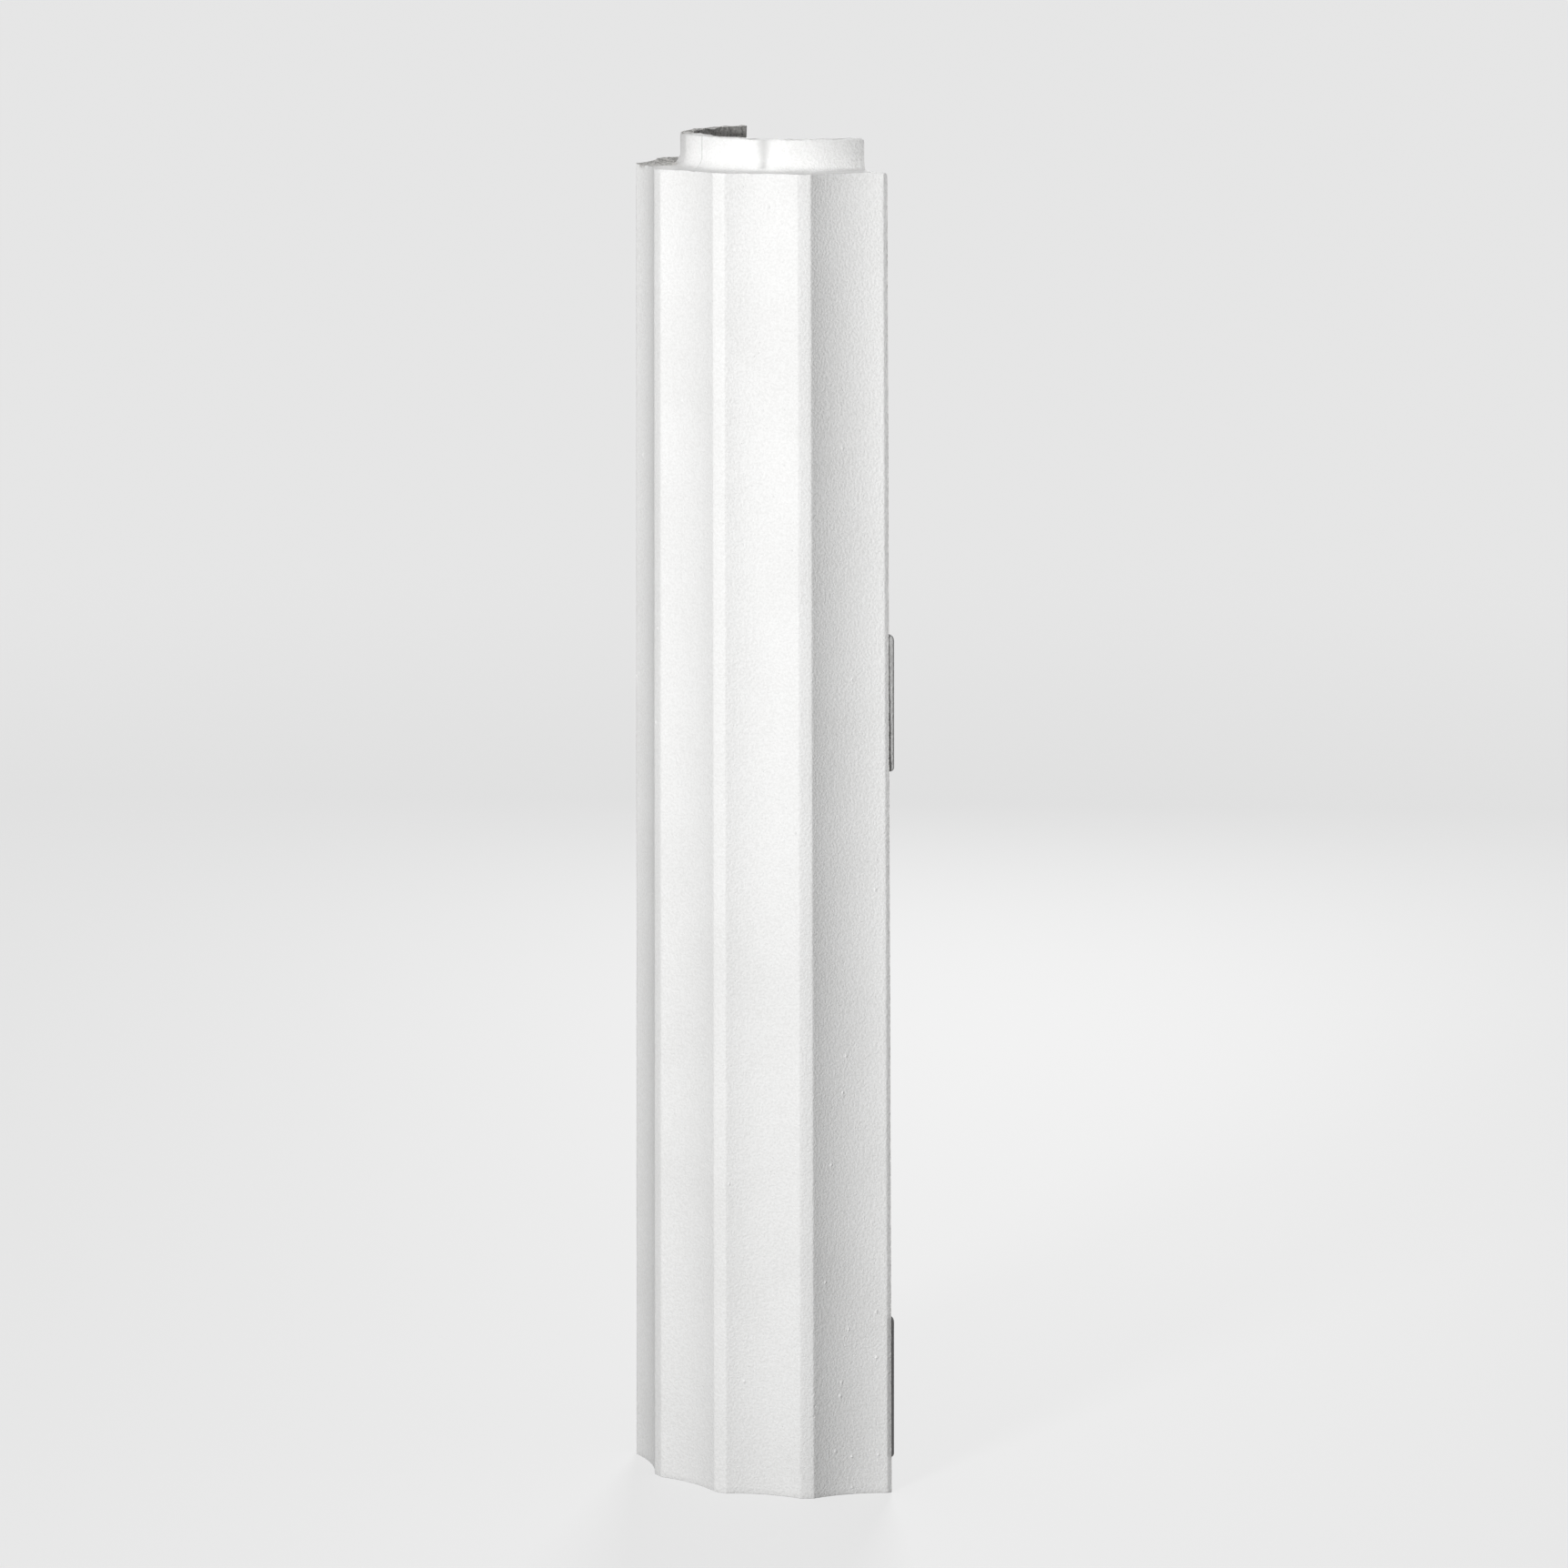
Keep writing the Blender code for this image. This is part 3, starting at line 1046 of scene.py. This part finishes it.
def primed_foam():
    """White primer with orange peel and pinholes, fading into bare, open-celled foam."""
    shop = Shop("primed_foam")
    bare = shop.node("ShaderNodeAttribute", {"attribute_name": "bare"}, {}, output="Fac")
    frayed = bare + (shop.noise(FRAY_SIZE, 3) - 0.5) * 0.5
    bare = shop.between(frayed, 0.35, 0.65)
    clouds = shop.between(shop.noise(CLOUD_SIZE, 3), 0.35, 0.7)
    painted_shade = shop.node("ShaderNodeAttribute", {"attribute_name": "painted_shade"}, {}, output="Fac")
    peel = shop.noise(PEEL_SIZE, 1)
    grain = shop.noise(GRAIN_SIZE, 2)
    pinholes = 1 - shop.between(shop.pits(PINHOLE_SPACING), 0.03, 0.07)
    cells = shop.between(shop.pits(CELL_SIZE), 0.2, 0.5)
    clots = shop.between(shop.noise(CLOT_SIZE, 4, 0.65), 0.38, 0.62)
    specks = shop.between(peel + (grain - 0.5) * 0.6, 0.35, 0.7)
    paint = shop.mix(clouds * 0.25 + specks * 0.55, PRIMER_WHITE, PRIMER_THIN)
    # The second attribute paints shade in: it greys the paint and darkens the foam.
    paint = shop.mix(painted_shade, paint, PRIMER_PAINTED_SHADE)
    foam = shop.mix(cells * 0.5 + clots * 0.5, shop.mix(painted_shade, FOAM_DARK, FOAM_PAINTED_SHADE), FOAM_PALE)
    painted = 1 - bare
    peeled = shop.bump((peel + grain * 0.5) * painted, PEEL_DEPTH)
    holed = shop.bump(pinholes * painted, -PINHOLE_DEPTH, peeled)
    rough = shop.bump((cells * 0.35 + clots) * bare, FOAM_DEPTH, holed)
    shop.connect(shop.shader, {
        "Base Color": shop.mix(bare, paint, foam),
        "Roughness": PRIMER_ROUGHNESS + clouds * 0.05 + bare * FOAM_ROUGHER,
        "Normal": rough,
    })
    return shop.material


piece.data.materials.append(primed_foam())
print("The finish has", len(piece.data.materials[0].node_tree.nodes), "nodes")

# %% [markdown]
# ## Floor, air and light
#
# The light does half the work on a white object. One soft lamp stands left of the camera, hardly higher
# than the rim, so that it grazes the ledge and leaves the last flute in shade. A very weak one from the
# right opens that shade a little, one overhead lights the ledge, and one behind the column is there for
# whoever walks round it. A backdrop with a corner would show behind so tall a piece. So the floor glows
# a little by itself and fades out before it ends, and the background is as pale as the floor but lights
# the column only weakly, so that the flutes keep their shading.

# %% Stage and lamps
FLOOR_RADIUS = 6.0
FLOOR_FADE = (1.5, 5.5)
FLOOR_PALE = (0.07, 0.07, 0.07, 1)
FLOOR_ROUGHNESS = 0.8
FLOOR_GLOW = 0.71
BACKGROUND_PALE = 0.79
AIR_LIGHT = 0.075
# Each lamp's azimuth, distance from the axis, height, tilt up from straight down, size and power
KEY_LAMP = (math.radians(31), 2.9, 1.05, math.radians(90), 0.5, 86)
FILL_LAMP = (math.radians(135), 2.9, 1.0, math.radians(90), 1.0, 3)
TOP_LAMP = (0, 0, 2.3, 0, 0.6, 9)
BACK_LAMP = (math.radians(235), 3.0, 1.2, math.radians(90), 0.8, 40)


def add_lamp(name, azimuth, distance, height, tilt, size, power):
    """A square soft lamp that faces down, or is tilted up towards the column's axis."""
    light = bpy.data.lights.new(name, "AREA")
    light.size = size
    light.energy = power
    lamp = bpy.data.objects.new(name, light)
    bpy.context.scene.collection.objects.link(lamp)
    turned = Matrix.Rotation(azimuth, 4, "Z") @ Matrix.Rotation(tilt, 4, "X")
    lamp.matrix_world = Matrix.Translation(round_the_axis(azimuth, distance, height)) @ turned


def pale_floor():
    """A pale floor that fades out into the background."""
    shop = Shop("pale_floor")
    distance = shop.node("ShaderNodeVectorMath", {"operation": "LENGTH"}, {0: shop.place}, output="Value")
    shop.connect(shop.shader, {
        "Base Color": FLOOR_PALE, "Roughness": FLOOR_ROUGHNESS, "Emission Color": (1, 1, 1, 1),
        "Emission Strength": FLOOR_GLOW, "Alpha": 1 - shop.between(distance, *FLOOR_FADE),
    })
    return shop.material


def add_floor():
    """A round floor under the column."""
    disc = bmesh.new()
    bmesh.ops.create_circle(disc, cap_ends=True, radius=FLOOR_RADIUS, segments=96)
    mesh = bpy.data.meshes.new("floor")
    disc.to_mesh(mesh)
    disc.free()
    mesh.materials.append(pale_floor())
    floor = bpy.data.objects.new("floor", mesh)
    bpy.context.scene.collection.objects.link(floor)
    floor.visible_diffuse = False
    floor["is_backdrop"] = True


def set_background():
    """Pale where the camera looks, and only a little light for the column."""
    world = bpy.data.worlds.new("air")
    world.use_nodes = True
    tree = world.node_tree
    seen = tree.nodes.new("ShaderNodeLightPath").outputs["Is Camera Ray"]
    strength = tree.nodes.new("ShaderNodeMapRange")
    strength.inputs["To Min"].default_value = AIR_LIGHT
    strength.inputs["To Max"].default_value = BACKGROUND_PALE
    tree.links.new(seen, strength.inputs["Value"])
    background = tree.nodes["Background"]
    background.inputs["Color"].default_value = (1, 1, 1, 1)
    tree.links.new(strength.outputs[0], background.inputs["Strength"])
    bpy.context.scene.world = world


add_floor()
set_background()
add_lamp("key_lamp", *KEY_LAMP)
add_lamp("fill_lamp", *FILL_LAMP)
add_lamp("top_lamp", *TOP_LAMP)
add_lamp("back_lamp", *BACK_LAMP)
bpy.context.scene.view_settings.view_transform = "Standard"
print("Four lamps, a floor and a pale background")

# %% [markdown]
# ## Does it still fit?
#
# The dressed piece may not be larger than the solid it stands for, because others build against that
# solid. The last cell measures both boxes and prints the room left on each side.

# %% Measure and finish
dressed_box = [list(corner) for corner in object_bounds()]
room = [round(1000 * (a - b), 3) for a, b in zip(dressed_box[0], solid_box[0])]
room += [round(1000 * (b - a), 3) for a, b in zip(dressed_box[1], solid_box[1])]
print("Room left on each side, in mm:", room)
